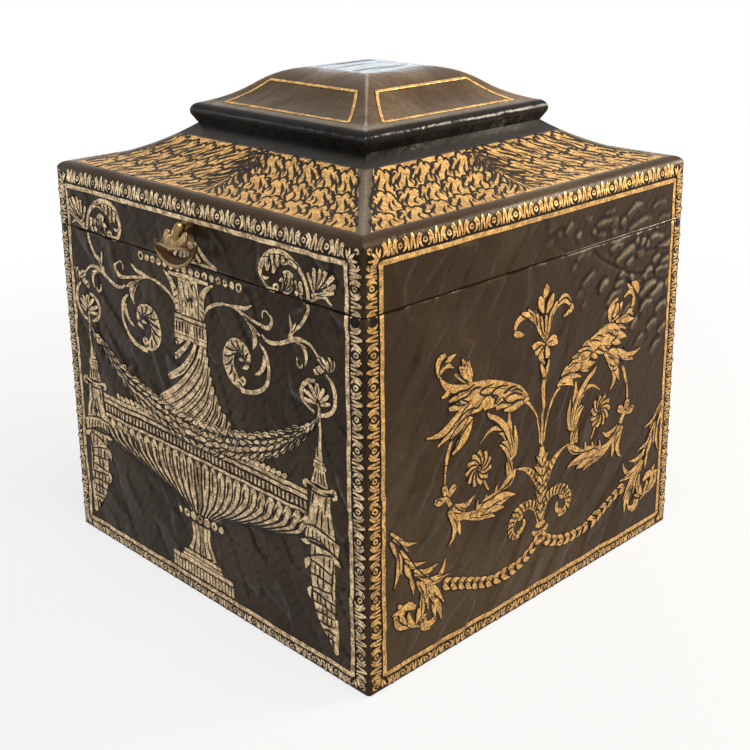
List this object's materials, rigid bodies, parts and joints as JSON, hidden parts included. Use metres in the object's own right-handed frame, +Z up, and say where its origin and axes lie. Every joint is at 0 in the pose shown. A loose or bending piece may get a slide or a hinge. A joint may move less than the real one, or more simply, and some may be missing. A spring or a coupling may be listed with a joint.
{
  "type": "deed box",
  "caption": "Square leather-covered wooden deed box with gilt tooling, a stepped moulded lid on back hinges and a small cast brass lift pull.",
  "frame": {"origin": "centre of the underside, on the surface that the box stands on", "axes": "+Z up, -Y out of the front with the pull, +X to the right as seen from the front; the lid hinges are on the +Y side"},
  "size_m": [0.32, 0.3439, 0.3539],
  "materials": {
    "wood": "planed softwood, unfinished",
    "leather": "hammered and waxed dark brown hide, semi-gloss",
    "gilt": "gold leaf tooled into leather, worn satin",
    "lining": "dark red watered silk on card",
    "felt": "dark green baize",
    "brass": "aged cast brass, waxed",
    "steel": "plain drawn wire"
  },
  "bodies": {
    "box": {"front_board": "wood", "front_leather": "leather", "front_lining": "lining", "back_board": "wood", "back_leather": "leather", "back_lining": "lining", "left_board": "wood", "left_leather": "leather", "left_lining": "lining", "right_board": "wood", "right_leather": "leather", "right_lining": "lining", "bottom_board": "wood", "base_felt": "felt", "floor_lining": "lining", "hinge_body_screws": "brass", "left_hinge_body_leaf": "brass", "left_hinge_pin": "steel", "right_hinge_body_leaf": "brass", "right_hinge_pin": "steel"},
    "lid": {"lid_front_rail": "wood", "lid_front_rim_leather": "leather", "lid_front_lining": "lining", "front_cove_moulding": "wood", "front_cove_leather": "leather", "front_cap_moulding": "wood", "front_cap_leather": "leather", "lid_back_rail": "wood", "lid_back_rim_leather": "leather", "lid_back_lining": "lining", "back_cove_moulding": "wood", "back_cove_leather": "leather", "back_cap_moulding": "wood", "back_cap_leather": "leather", "lid_left_rail": "wood", "lid_left_rim_leather": "leather", "lid_left_lining": "lining", "left_cove_moulding": "wood", "left_cove_leather": "leather", "left_cap_moulding": "wood", "left_cap_leather": "leather", "lid_right_rail": "wood", "lid_right_rim_leather": "leather", "lid_right_lining": "lining", "right_cove_moulding": "wood", "right_cove_leather": "leather", "right_cap_moulding": "wood", "right_cap_leather": "leather", "lid_deck": "wood", "cap_top_board": "wood", "cap_top_leather": "leather", "ceiling_lining": "lining", "left_hinge_lid_leaf": "brass", "right_hinge_lid_leaf": "brass", "hinge_lid_screws": "brass", "pull_bracket": "brass", "pull_pin": "brass", "pull_nut": "brass"},
    "pull": {"pull_drop": "brass"}
  },
  "joints": [
    {"name": "lid_hinge", "type": "hinge", "parent": "box", "child": "lid", "pos_m": [0, 0.1636, 0.2424], "axis": [-1, 0, 0], "range_deg": [0, 99]},
    {"name": "pull_swing", "type": "hinge", "parent": "lid", "child": "pull", "pos_m": [0, -0.1646, 0.2665], "axis": [-1, 0, 0], "range_deg": [0, 40]}
  ]
}
